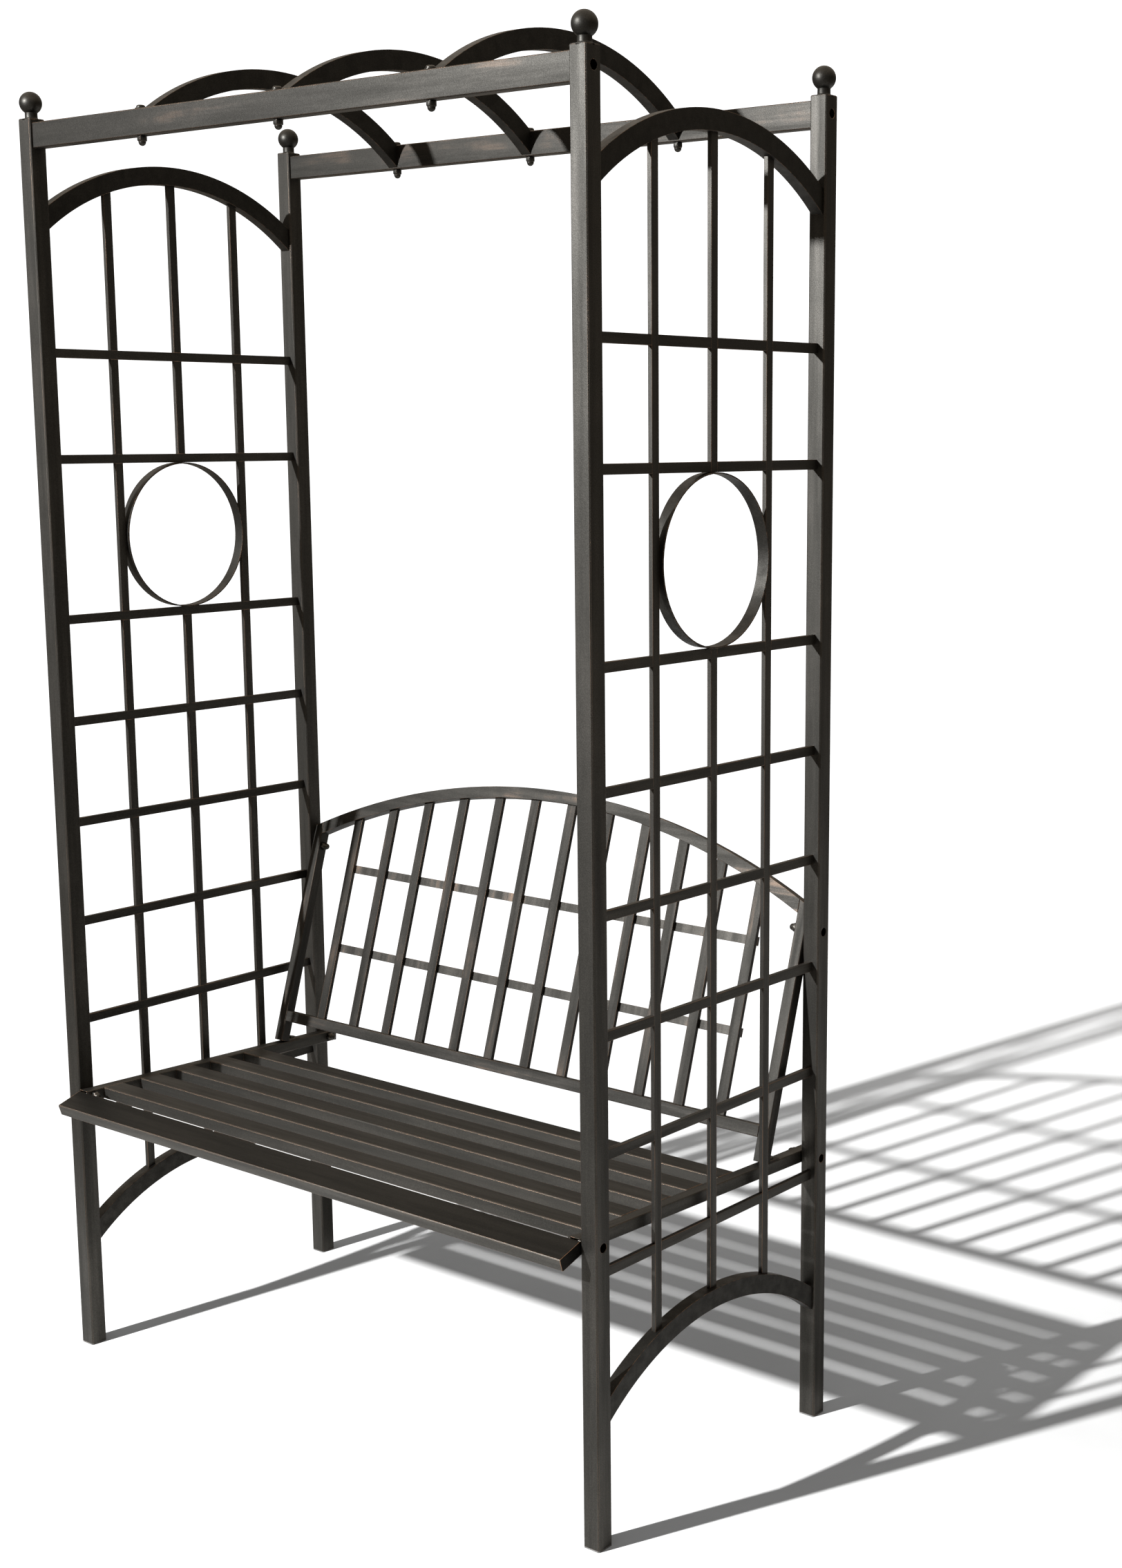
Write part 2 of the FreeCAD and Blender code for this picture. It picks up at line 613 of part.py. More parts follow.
def roof_bolts():
    length = WASHER_THICK + TOP_RAIL_HEIGHT + NUT_THREAD
    head = dome(DOME_HEAD, DOME_HEAD_HEIGHT, DOME_HEAD_HEIGHT * DOME_SHARE)
    shape = bolt(head, BOLT, length, DOME_SOCKET, DOME_HEAD_HEIGHT)
    lift = vec(0, 0, WASHER_THICK)
    return Part.makeCompound([shape.translated(place + lift) for place in roof_bolt_places()])


def roof_washers():
    hole = prism(SHAFT_SIDES, BOLT + 2 * BOLT_CLEARANCE, 0, WASHER_THICK)
    shape = prism(HEAD_SIDES, WASHER, 0, WASHER_THICK).cut(hole)
    return Part.makeCompound([shape.translated(place) for place in roof_bolt_places()])


def cap_nuts():
    """The nuts under the top rails and on the inner faces of the seat rails and the back."""
    nut = cap_nut()
    below = vec(0, 0, -TOP_RAIL_HEIGHT)
    shapes = [aimed(nut, place + below, -UP) for place in roof_bolt_places()]
    for y, z, face in frame_bolt_places():
        if z != TOP_RAIL_MID:
            side_nut = aimed(nut, vec(face, y, z), -ALONG_X)
            shapes += [side_nut, left_of(side_nut)]
    return Part.makeCompound(shapes)


def back_foot_screws():
    head = dome(SCREW_HEAD, SCREW_HEAD_HEIGHT, SCREW_HEAD_HEIGHT * DOME_SHARE)
    shape = bolt(head, SCREW, SCREW_LENGTH, SCREW_SOCKET, SCREW_HEAD_HEIGHT)
    shape = framed(shape.translated(vec(INNER_X - SEAT_TUBE / 2, SCREW_Y, TAB_THICK)), SEAT_FRAME)
    return Part.makeCompound([shape, left_of(shape)])


def pair(pieces, name, shape):
    """A right-hand piece and its left-hand twin, each in its own node."""
    pieces["right_" + name] = shape
    pieces["left_" + name] = left_of(shape)


def both_sides(shapes):
    return Part.makeCompound(shapes + [left_of(shape) for shape in shapes])


def posts_and_finials(pieces):
    front_bolts = [seat_bolt_z(FRONT_Y), TOP_RAIL_MID]
    rear_bolts = [seat_bolt_z(REAR_Y), BACK_BOLT_Z, TOP_RAIL_MID]
    pair(pieces, "front_post", post(FRONT_Y, front_bolts))
    pair(pieces, "rear_post", post(REAR_Y, rear_bolts))
    pair(pieces, "front_finial", finial(FRONT_Y))
    pair(pieces, "rear_finial", finial(REAR_Y))
    pieces["foot_inserts"] = both_sides([foot_insert(FRONT_Y), foot_insert(REAR_Y)])


def roof(pieces):
    front = top_rail()
    pieces["front_top_rail"] = front
    pieces["rear_top_rail"] = rear_of(front)
    for name, x in zip(("left", "middle", "right"), roof_arch_places()):
        pieces["roof_arch_" + name] = roof_arch(x)
    pieces["roof_bolts"] = roof_bolts()
    pieces["roof_washers"] = roof_washers()


def trellis(pieces):
    pair(pieces, "upper_arch", side_arch(UPPER_CENTRE_Z))
    pair(pieces, "lower_arch", side_arch(LOWER_CENTRE_Z))
    pair(pieces, "trellis_front_upright", long_upright(MIDDLE_Y - UPRIGHT_OFFSET))
    pair(pieces, "trellis_centre_upright", centre_upright())
    pair(pieces, "trellis_rear_upright", long_upright(MIDDLE_Y + UPRIGHT_OFFSET))
    pair(pieces, "trellis_crossbars", crossbars())
    pieces["trellis_rings"] = both_sides([trellis_ring()])


def seat(pieces):
    pair(pieces, "seat_rail", seat_rail())
    pieces["seat_front_board"] = seat_front_board()
    for number in range(SLAT_COUNT):
        pieces["seat_slat_" + str(number + 1)] = seat_slat(number)
    pieces["seat_rail_plugs"] = both_sides([seat_rail_plug()])


def back(pieces):
    pair(pieces, "back_upright", back_upright())
    pieces["back_top_rail"] = back_top_rail()
    pieces["back_bottom_rail"] = back_bottom_rail()
    for number in range(BACK_SLAT_COUNT):
        pieces["back_slat_" + str(number + 1).zfill(2)] = back_slat(number)
    pieces["back_bar_upper"] = back_bar(UPPER_BACK_BAR)
    pieces["back_bar_lower"] = back_bar(LOWER_BACK_BAR)


def fasteners(pieces):
    pieces["frame_bolts"] = frame_bolts()
    pieces["cap_nuts"] = cap_nuts()
    pieces["back_foot_screws"] = back_foot_screws()


def main():
    pieces = {}
    posts_and_finials(pieces)
    roof(pieces)
    trellis(pieces)
    seat(pieces)
    back(pieces)
    fasteners(pieces)
    whole = Part.makeCompound(list(pieces.values())).optimalBoundingBox(False)
    slide = vec(0, -(whole.YMin + whole.YMax) / 2, 0)
    os.makedirs("parts", exist_ok=True)
    for name, shape in pieces.items():
        shape.translated(slide).exportStep("parts/" + name + ".step")


main()
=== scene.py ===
import bpy
import bmesh
import math
from mathutils import Euler, Matrix, Vector


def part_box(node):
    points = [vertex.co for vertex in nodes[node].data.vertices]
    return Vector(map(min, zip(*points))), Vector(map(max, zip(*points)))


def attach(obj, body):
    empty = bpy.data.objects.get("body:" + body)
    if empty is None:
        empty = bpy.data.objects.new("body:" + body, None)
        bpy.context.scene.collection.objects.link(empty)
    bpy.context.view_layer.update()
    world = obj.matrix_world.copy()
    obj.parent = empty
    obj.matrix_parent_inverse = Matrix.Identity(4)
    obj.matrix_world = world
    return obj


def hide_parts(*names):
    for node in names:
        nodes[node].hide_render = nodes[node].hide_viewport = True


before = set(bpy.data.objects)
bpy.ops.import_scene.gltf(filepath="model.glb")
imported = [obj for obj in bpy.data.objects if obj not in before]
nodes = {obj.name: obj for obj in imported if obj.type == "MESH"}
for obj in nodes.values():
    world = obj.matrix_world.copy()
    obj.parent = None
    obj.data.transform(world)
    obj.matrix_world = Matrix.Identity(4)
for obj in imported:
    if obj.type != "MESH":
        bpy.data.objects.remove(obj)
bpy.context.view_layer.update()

# An arbour seat of steel tube in hand-brushed dark bronze paint, worn to copper at its edges.
# Lengths are in metres. X runs along the seat, -Y is the open front, +Z is up.

# Paint, as linear light: the deep, middle and brushed pale tone of the coat, and the copper under it
COAT_DARK = (0.034, 0.032, 0.028)
COAT_MID = (0.052, 0.049, 0.043)
COAT_LIGHT = (0.080, 0.073, 0.064)
COPPER = (0.500, 0.290, 0.170, 1)
COAT_METALLIC = 0.96

# Noise patterns: scale per metre, detail and roughness
CLOUDS = (9.0, 5.0, 0.6)
BRUSH_MARKS = (55.0, 6.0, 0.6)
CHIPS = (120.0, 4.0, 0.55)
GRAIN = (620.0, 3.0, 0.6)
PLASTIC_CLOUDS = (60.0, 3.0, 0.5)
PLASTIC_GRAIN = (1400.0, 2.0, 0.5)
FLOOR_CLOUDS = (3.0, 4.0, 0.55)

# Levels of the noise between which each mark fades in
TONE_FADE = (0.3, 0.7)
PALE_CLOUD_FADE = (0.35, 0.68)
PALE_MARK_FADE = (0.34, 0.7)
RUBBED_CLOUD_FADE = (0.48, 0.66)
RUBBED_MARK_FADE = (0.5, 0.68)
GLOSS_FADE = (0.25, 0.75)
GRAIN_FADE = (0.35, 0.75)
CHIP_HALF_FADE = 0.12

# Levels of the edge mask, and of the normal's Y, between which an edge and a front face begin; front
# faces get painted light or shade
EDGE_FADE = (0.02, 0.16)
FRONT_FADE = (-0.4, -0.9)

# How much the grain shades the coat, and how much roughness and colour vary
GRAIN_SHADES = (0.85, 1.25)
GLOSS_SPREAD = 0.05
PLASTIC_GLOSS_SPREAD = 0.06
DULL_SHARE = 0.8

# How far a soft edge reaches in, and the strength and height of the fine bumps
PAINT_EDGE = 0.0012
PLASTIC_EDGE = 0.001
EDGE_SAMPLES = 8
PAINT_BUMP = (0.25, 0.0004)
PLASTIC_BUMP = (0.2, 0.0002)

# How the noise is squeezed, so that brush marks run along a bar
ALONG_X = (0.06, 1, 1)
ALONG_Y = (1, 0.06, 1)
ALONG_Z = (1, 1, 0.06)
EVEN = (1, 1, 1)
BACK_LEAN = math.radians(17.0)


# Small helpers for node trees

def shader_tree(name):
    material = bpy.data.materials.new(name)
    material.use_nodes = True
    tree = material.node_tree
    tree.nodes.clear()
    output = tree.nodes.new("ShaderNodeOutputMaterial")
    shader = tree.nodes.new("ShaderNodeBsdfPrincipled")
    tree.links.new(shader.outputs["BSDF"], output.inputs["Surface"])
    return material, tree, shader


def feed(tree, socket, value):
    """Sets a socket to a plain value, or links it to another socket."""
    if isinstance(value, bpy.types.NodeSocket):
        tree.links.new(value, socket)
    else:
        socket.default_value = value


def math_node(tree, operation, first, second, clamp=False):
    node = tree.nodes.new("ShaderNodeMath")
    node.operation = operation
    node.use_clamp = clamp
    feed(tree, node.inputs[0], first)
    feed(tree, node.inputs[1], second)
    return node.outputs[0]


def times(tree, first, second):
    return math_node(tree, "MULTIPLY", first, second)


def ramp(tree, value, fade, reach=(0.0, 1.0)):
    """Goes smoothly from one value to another while the input crosses the fade."""
    node = tree.nodes.new("ShaderNodeMapRange")
    node.interpolation_type = "SMOOTHSTEP"
    feed(tree, node.inputs["Value"], value)
    for socket, number in zip(("From Min", "From Max", "To Min", "To Max"), fade + reach):
        feed(tree, node.inputs[socket], number)
    return node.outputs["Result"]


def noise(tree, where, pattern):
    scale, detail, rough = pattern
    node = tree.nodes.new("ShaderNodeTexNoise")
    feed(tree, node.inputs["Vector"], where)
    node.inputs["Scale"].default_value = scale
    node.inputs["Detail"].default_value = detail
    node.inputs["Roughness"].default_value = rough
    return node.outputs["Fac"]


def mixed(tree, factor, first, second):
    node = tree.nodes.new("ShaderNodeMix")
    node.data_type = "RGBA"
    feed(tree, node.inputs["Factor"], factor)
    feed(tree, node.inputs["A"], first)
    feed(tree, node.inputs["B"], second)
    return node.outputs["Result"]


def axes_of(tree, vector):
    node = tree.nodes.new("ShaderNodeSeparateXYZ")
    tree.links.new(vector, node.inputs["Vector"])
    return node.outputs


def object_place(tree):
    return tree.nodes.new("ShaderNodeTexCoord").outputs["Object"]


def plain_normal(tree):
    return tree.nodes.new("ShaderNodeNewGeometry").outputs["True Normal"]


def squeezed(tree, coords, stretch, lean):
    """Coordinates that are turned by the bar's lean and then squeezed along it."""
    turn = tree.nodes.new("ShaderNodeMapping")
    turn.inputs["Rotation"].default_value = (lean, 0, 0)
    tree.links.new(coords, turn.inputs["Vector"])
    squeeze = tree.nodes.new("ShaderNodeMapping")
    squeeze.inputs["Scale"].default_value = stretch
    tree.links.new(turn.outputs["Vector"], squeeze.inputs["Vector"])
    return squeeze.outputs["Vector"]


def soft_normal(tree, radius):
    bevel = tree.nodes.new("ShaderNodeBevel")
    bevel.samples = EDGE_SAMPLES
    bevel.inputs["Radius"].default_value = radius
    return bevel.outputs["Normal"]


def edge_mask(tree, softened):
    """0 on faces and more along outer edges, where the softened normal leaves the plain one."""
    dot = tree.nodes.new("ShaderNodeVectorMath")
    dot.operation = "DOT_PRODUCT"
    tree.links.new(softened, dot.inputs[0])
    tree.links.new(plain_normal(tree), dot.inputs[1])
    return math_node(tree, "SUBTRACT", 1.0, dot.outputs["Value"], True)


def roughened(tree, shader, height, softened, bump_size):
    bump = tree.nodes.new("ShaderNodeBump")
    bump.inputs["Strength"].default_value = bump_size[0]
    bump.inputs["Distance"].default_value = bump_size[1]
    tree.links.new(height, bump.inputs["Height"])
    tree.links.new(softened, bump.inputs["Normal"])
    tree.links.new(bump.outputs["Normal"], shader.inputs["Normal"])


# Paint and plastic

def coat_colour(tree, clouds, marks, brushed, tint):
    """Deep to middle brown along the brush marks, with the pale coat where clouds and marks meet."""
    tones = (COAT_DARK, COAT_MID, COAT_LIGHT)
    deep, middle, pale = [tuple(tint * channel for channel in tone) + (1,) for tone in tones]
    colour = mixed(tree, ramp(tree, marks, TONE_FADE), deep, middle)
    share = times(tree, ramp(tree, clouds, PALE_CLOUD_FADE), ramp(tree, marks, PALE_MARK_FADE))
    return mixed(tree, times(tree, share, brushed), colour, pale)


def shaded(tree, colour, grain, front):
    """The colour with its grain, and paler or darker on faces that look to the front: painted light or
    shade.
    """
    amount = ramp(tree, grain, GRAIN_FADE, GRAIN_SHADES)
    # Painted light or shade: faces that look to the front are made paler or darker by front
    if front != 1.0:
        facing = axes_of(tree, plain_normal(tree))["Y"]
        amount = times(tree, amount, ramp(tree, facing, FRONT_FADE, (1.0, front)))
    shade = tree.nodes.new("ShaderNodeVectorMath")
    shade.operation = "SCALE"
    tree.links.new(colour, shade.inputs[0])
    tree.links.new(amount, shade.inputs["Scale"])
    return shade.outputs["Vector"]


def wear_share(tree, chips, clouds, marks, rim, copper, broken, rubbed):
    """How much copper shows: along broken stretches of the edges, and faintly where faces are rubbed."""
    stretches = ramp(tree, chips, (broken - CHIP_HALF_FADE, broken + CHIP_HALF_FADE))
    wear = times(tree, times(tree, ramp(tree, rim, EDGE_FADE), stretches), copper)
    if rubbed:
        patch = times(tree, ramp(tree, clouds, RUBBED_CLOUD_FADE), ramp(tree, marks, RUBBED_MARK_FADE))
        wear = math_node(tree, "MAXIMUM", wear, times(tree, patch, rubbed))
    return wear


def bronze(name, stretch, lean=0.0, rough=0.5, brushed=0.5, copper=0.5, tint=1.0, broken=0.5,
           front=1.0, rubbed=0.0):
    """Hand-brushed dark bronze paint: brushed is its pale coat, copper the strength of its worn edges,
    broken how often they stop, front the painted light or shade on front faces and rubbed the copper on
    its faces."""
    material, tree, shader = shader_tree(name)
    coords = object_place(tree)
    along = squeezed(tree, coords, stretch, lean)
    clouds = noise(tree, coords, CLOUDS)
    marks = noise(tree, along, BRUSH_MARKS)
    chips = noise(tree, along, CHIPS)
    grain = noise(tree, coords, GRAIN)
    softened = soft_normal(tree, PAINT_EDGE)
    coat = shaded(tree, coat_colour(tree, clouds, marks, brushed, tint), grain, front)
    wear = wear_share(tree, chips, clouds, marks, edge_mask(tree, softened), copper, broken, rubbed)
    tree.links.new(mixed(tree, wear, coat, COPPER), shader.inputs["Base Color"])
    gloss = ramp(tree, marks, GLOSS_FADE, (rough + GLOSS_SPREAD, rough - GLOSS_SPREAD))
    tree.links.new(gloss, shader.inputs["Roughness"])
    shader.inputs["Metallic"].default_value = COAT_METALLIC
    roughened(tree, shader, grain, softened, PAINT_BUMP)
    return material


def plastic(name, colour, rough):
    """Moulded plastic with a fine grain and a little unevenness in its colour and gloss."""
    material, tree, shader = shader_tree(name)
    coords = object_place(tree)
    clouds = noise(tree, coords, PLASTIC_CLOUDS)
    dull = tuple(DULL_SHARE * channel for channel in colour)
    moulded = mixed(tree, ramp(tree, clouds, TONE_FADE), dull + (1,), colour + (1,))
    tree.links.new(moulded, shader.inputs["Base Color"])
    gloss = ramp(tree, clouds, TONE_FADE, (rough + PLASTIC_GLOSS_SPREAD, rough - PLASTIC_GLOSS_SPREAD))
    tree.links.new(gloss, shader.inputs["Roughness"])
    softened = soft_normal(tree, PLASTIC_EDGE)
    roughened(tree, shader, noise(tree, coords, PLASTIC_GRAIN), softened, PLASTIC_BUMP)
    return material


post_paint = bronze("post_paint", ALONG_Z)
# The rails' coat is darker than the posts': a painted shade that dims the rails' lit faces
rail_paint = bronze("rail_paint", ALONG_X, copper=0.8, tint=0.76, broken=0.42, rubbed=0.06)
depth_paint = bronze("depth_paint", ALONG_Y)
# The arches' and rings' coat is darker than the posts': a painted shade on the arches and rings
arch_paint_and_painted_shade = bronze("arch_paint_and_painted_shade", EVEN, brushed=0.2, copper=0.35, tint=0.66)
# The slats' front faces are made paler: painted light on their front faces
slat_paint_and_painted_light = bronze("slat_paint_and_painted_light", ALONG_X, brushed=0.3, copper=0.95, tint=0.85, broken=0.38, front=1.45)
# The board's coat is darkened and its front faces made much paler: painted shade on its top, painted
# light on its front
board_paint_with_painted_shade_and_light = bronze("board_paint_with_painted_shade_and_light", ALONG_X, brushed=0.2, copper=0.95, tint=0.38, broken=0.34, front=3.75)
back_paint = bronze("back_paint", ALONG_Z, BACK_LEAN, rough=0.55, brushed=0.7, tint=0.66, rubbed=0.08)
back_rail_paint = bronze("back_rail_paint", ALONG_X, rough=0.55, brushed=0.9, tint=0.72, rubbed=0.12)
back_bar_paint = bronze("back_bar_paint", ALONG_Z, BACK_LEAN, rough=0.55, brushed=1.0, tint=1.05,
                        rubbed=0.22)
ball_paint = bronze("ball_paint", EVEN, rough=0.45, brushed=0.2, copper=0.0, tint=0.7)
bolt_paint = bronze("bolt_paint", EVEN, rough=0.36, brushed=0.2, copper=0.2)
# The bolt heads are made much paler than the coat: painted light standing in for a glint on them in their
# shaded holes
head_paint_and_painted_light = bronze("head_paint_and_painted_light", EVEN, brushed=0.4, copper=0.6, tint=4.5)
foot_plastic = plastic("foot_plastic", (0.070, 0.068, 0.064), 0.5)
plug_plastic = plastic("plug_plastic", (0.016, 0.015, 0.014), 0.42)

# The finish of a node is that of the first word here that its name holds; small fasteners hold none
FINISHES = (
    ("foot_inserts", foot_plastic),
    ("seat_rail_plugs", plug_plastic),
    ("finial", ball_paint),
    ("post", post_paint),
    ("back_upright", back_paint),
    ("upright", post_paint),
    ("seat_slat", slat_paint_and_painted_light),
    ("seat_front_board", board_paint_with_painted_shade_and_light),
    ("back_bar", back_bar_paint),
    ("back_slat", back_paint),
    ("back_foot_screws", bolt_paint),
    ("back_", back_rail_paint),
    ("top_rail", rail_paint),
    ("crossbars", depth_paint),
    ("seat_rail", depth_paint),
    ("arch", arch_paint_and_painted_shade),
    ("rings", arch_paint_and_painted_shade),
)

for name, obj in nodes.items():
    finish = next((material for word, material in FINISHES if word in name), bolt_paint)
    for material_slot in obj.material_slots:
        material_slot.material = finish


# Small round pieces, built as stacks of loops around an axis; a loop is (outline, half width, height)

LOOP_POINTS = 48
RIM_STEPS = 4
SQUARENESS = 8
SHARP_EDGE = math.radians(38)
SAME_POINT = 1e-5
ORDER_DIGITS = 4


def circle(angle):
    return 1.0


def hexagon(angle):
    """Distance to the side of a hexagon whose half width across the flats is 1."""
    return 1.0 / math.cos((angle % (math.pi / 3)) - math.pi / 6)


def rounded_square(angle):
    """Distance to the side of a square with rounded corners whose half width is 1."""
    reach = abs(math.cos(angle)) ** SQUARENESS + abs(math.sin(angle)) ** SQUARENESS
    return reach ** (-1 / SQUARENESS)


def quarter_turn(steps):
    """Angles from 0 to a right angle."""
    return [math.pi / 2 * step / steps for step in range(steps + 1)]


def skin(bm, place, loops, ring):
    """Faces between loops, with the first and last loop closed, or joined to each other in a ring."""
    rows = []
    for outline, size, height in loops:
        row = []
        for number in range(LOOP_POINTS):
            angle = 2 * math.pi * number / LOOP_POINTS
            reach = outline(angle) * size
            point = Vector((reach * math.cos(angle), reach * math.sin(angle), height))
            row.append(bm.verts.new(place @ point))
        rows.append(row)
    pairs = list(zip(rows, rows[1:]))
    if ring:
        pairs.append((rows[-1], rows[0]))
    for low, high in pairs:
        for number in range(LOOP_POINTS):
            following = (number + 1) % LOOP_POINTS
            bm.faces.new((low[number], low[following], high[following], high[number]))
    if not ring:
        bm.faces.new(list(reversed(rows[0])))
        bm.faces.new(rows[-1])


def rounded(outline, size, low, high, corner):
    """Loops up a straight side and over a rounded top rim."""
    loops = [(outline, size, low)]
    for turn in quarter_turn(RIM_STEPS):
        inward, down = 1 - math.cos(turn), 1 - math.sin(turn)
        loops.append((outline, size - corner * inward, high - corner * down))
    return loops


def stand_in(name, stacks, material, replaced, ring=False):
    """One object from stacks, each a place and its loops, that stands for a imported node."""
    bm = bmesh.new()
    for place, loops in stacks:
        skin(bm, place, loops, ring)
    bmesh.ops.recalc_face_normals(bm, faces=bm.faces)
    mesh = bpy.data.meshes.new(name)
    bm.to_mesh(mesh)
    bm.free()
    for face in mesh.polygons:
        face.use_smooth = True
    mesh.set_sharp_from_angle(angle=SHARP_EDGE)
    mesh.materials.append(material)
    piece = bpy.data.objects.new(name, mesh)
    bpy.context.scene.collection.objects.link(piece)
    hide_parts(replaced)
    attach(piece, "root")


def solids_of(node):
    """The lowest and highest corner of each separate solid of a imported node, from left to right."""
    bm = bmesh.new()
    bm.from_mesh(nodes[node].data)
    bmesh.ops.remove_doubles(bm, verts=bm.verts, dist=SAME_POINT)
    waiting = set(bm.verts)
    boxes = []
    while waiting:
        found = {waiting.pop()}
        edge = list(found)
        while edge:
            near = [other for spoke in edge.pop().link_edges for other in spoke.verts if other in waiting]
            waiting.difference_update(near)
            found.update(near)
            edge.extend(near)
        points = [vertex.co for vertex in found]
        low = Vector([min(point[axis] for point in points) for axis in range(3)])
        high = Vector([max(point[axis] for point in points) for axis in range(3)])
        boxes.append((low, high))
    bm.free()
    boxes.sort(key=lambda box: tuple(round(value, ORDER_DIGITS) for value in (box[0] + box[1]) / 2))
    return boxes


def pointed(base, direction):
    """A place at a base whose Z axis points along a direction."""
    return Matrix.Translation(base) @ Vector(direction).to_track_quat("Z", "Y").to_matrix().to_4x4()


# Finials: a cap plate on the post, a flared neck and a ball

CAP_HALF = 0.015
CAP_THICK = 0.0025
CAP_RIM = 0.0008
NECK = 0.010
NECK_FLARE = (0.0025, 0.0030)
NECK_STEPS = 6
NECK_SINK = 0.0002
NECK_TOP = 0.99
BALL = 0.018
BALL_SINK = 0.0006
BALL_STEPS = 27
FINIAL = 0.043


def neck_and_ball():
    loops = []
    out, up = NECK_FLARE
    for turn in quarter_turn(NECK_STEPS):
        reach = NECK + out * (1 - math.sin(turn))
        loops.append((circle, reach, up * (1 - math.cos(turn)) - NECK_SINK))
    centre = FINIAL - BALL
    first = math.asin(NECK / BALL)
    loops.append((circle, NECK * NECK_TOP, centre - BALL * math.cos(first) - BALL_SINK))
    for step in range(BALL_STEPS):
        turn = first + (math.pi - first) * step / BALL_STEPS
        loops.append((circle, BALL * math.sin(turn), centre - BALL * math.cos(turn)))
    return loops


for node in sorted(name for name in nodes if name.endswith("finial")):
    low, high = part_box(node)
    middle = (low + high) / 2
    place = Matrix.Translation((middle.x, middle.y, high.z - FINIAL))
    cap = rounded(rounded_square, CAP_HALF, -CAP_THICK, 0.0, CAP_RIM)
    stand_in("turned_" + node, [(place, cap), (place, neck_and_ball())], ball_paint, node)


# Fasteners

SHANK = 0.004
SHANK_TIP = 0.0008
SOCKET_RIM = 0.0005
SOCKET_FLARE = 0.0004
SOCKET_POINT = 0.0006
SOCKET_TIP_DIVISOR = 6

FRAME_HEAD = 0.0065
FRAME_HEAD_HEIGHT = 0.007
FRAME_HEAD_RIM = 0.0009
FRAME_SOCKET = 0.006
FRAME_SOCKET_DEPTH = 0.0038

DOME_HEAD = 0.007
DOME_FOOT = 0.0068
DOME_EDGE = 0.0012
DOME_HEIGHT = 0.005
DOME_END = math.radians(58)
DOME_STEPS = 8
DOME_FULLNESS = 0.6
DOME_SOCKET = 0.005
DOME_SOCKET_DEPTH = 0.0026

WASHER_BORE = 0.0043
WASHER_REACH = 0.009
WASHER_FOOT = (0.0002, 0.0003)
WASHER_RIM = (0.0004, 0.0005)

NUT_BORE = 0.0041
NUT_HALF = 0.0065
NUT_FOOT = 0.0003
NUT_LOW = 0.0006
NUT_HIGH = 0.0070
NUT_SHOULDER = (0.0002, 0.0010)
NUT_COLLAR = 0.0012
NUT_DOME = 0.0058
NUT_DOME_BASE = 0.0092
NUT_DOME_STEPS = 9
UNDER_ROOF = 2.0


def with_socket(head, flats, depth):
    """The loops of a head carried on into its hexagon socket."""
    top = head[-1][2]
    half = flats / 2
    return head + [(hexagon, half + SOCKET_FLARE, top), (hexagon, half, top - SOCKET_RIM),
                   (hexagon, half, top - depth),
                   (circle, flats / SOCKET_TIP_DIVISOR, top - depth - SOCKET_POINT)]


def shank(length):
    return [(circle, SHANK - SHANK_TIP, -length), (circle, SHANK, SHANK_TIP - length),
            (circle, SHANK, 0.0)]


def socket_bolts():
    """Bolts through the posts, their heads outward."""
    head = rounded(circle, FRAME_HEAD, 0.0, FRAME_HEAD_HEIGHT, FRAME_HEAD_RIM)
    head = with_socket(head, FRAME_SOCKET, FRAME_SOCKET_DEPTH)
    stacks = []
    for low, high in solids_of("frame_bolts"):
        middle = (low + high) / 2
        side = 1.0 if middle.x > 0 else -1.0
        bearing = (high.x if side > 0 else low.x) - side * FRAME_HEAD_HEIGHT
        place = pointed((bearing, middle.y, middle.z), (side, 0, 0))
        stacks.append((place, shank(high.x - low.x - FRAME_HEAD_HEIGHT) + head))
    return stacks


def domed_bolts():
    """Bolts down through the top rails."""
    head = [(circle, DOME_FOOT, 0.0)]
    for step in range(DOME_STEPS + 1):
        turn = DOME_END * step / DOME_STEPS
        height = DOME_EDGE + (DOME_HEIGHT - DOME_EDGE) * math.sin(turn)
        head.append((circle, DOME_HEAD * math.cos(turn) ** DOME_FULLNESS, height))
    head = with_socket(head, DOME_SOCKET, DOME_SOCKET_DEPTH)
    stacks = []
    for low, high in solids_of("roof_bolts"):
        middle = (low + high) / 2
        bearing = high.z - DOME_HEIGHT
        place = pointed((middle.x, middle.y, bearing), (0, 0, 1))
        stacks.append((place, shank(bearing - low.z) + head))
    return stacks


def round_washers():
    stacks = []
    for low, high in solids_of("roof_washers"):
        middle = (low + high) / 2
        thick = high.z - low.z
        loops = [(circle, WASHER_BORE, 0.0), (circle, WASHER_REACH - WASHER_FOOT[0], 0.0),
                 (circle, WASHER_REACH, WASHER_FOOT[1]), (circle, WASHER_REACH, thick - WASHER_RIM[1]),
                 (circle, WASHER_REACH - WASHER_RIM[0], thick), (circle, WASHER_BORE, thick)]
        stacks.append((pointed((middle.x, middle.y, low.z), (0, 0, 1)), loops))
    return stacks


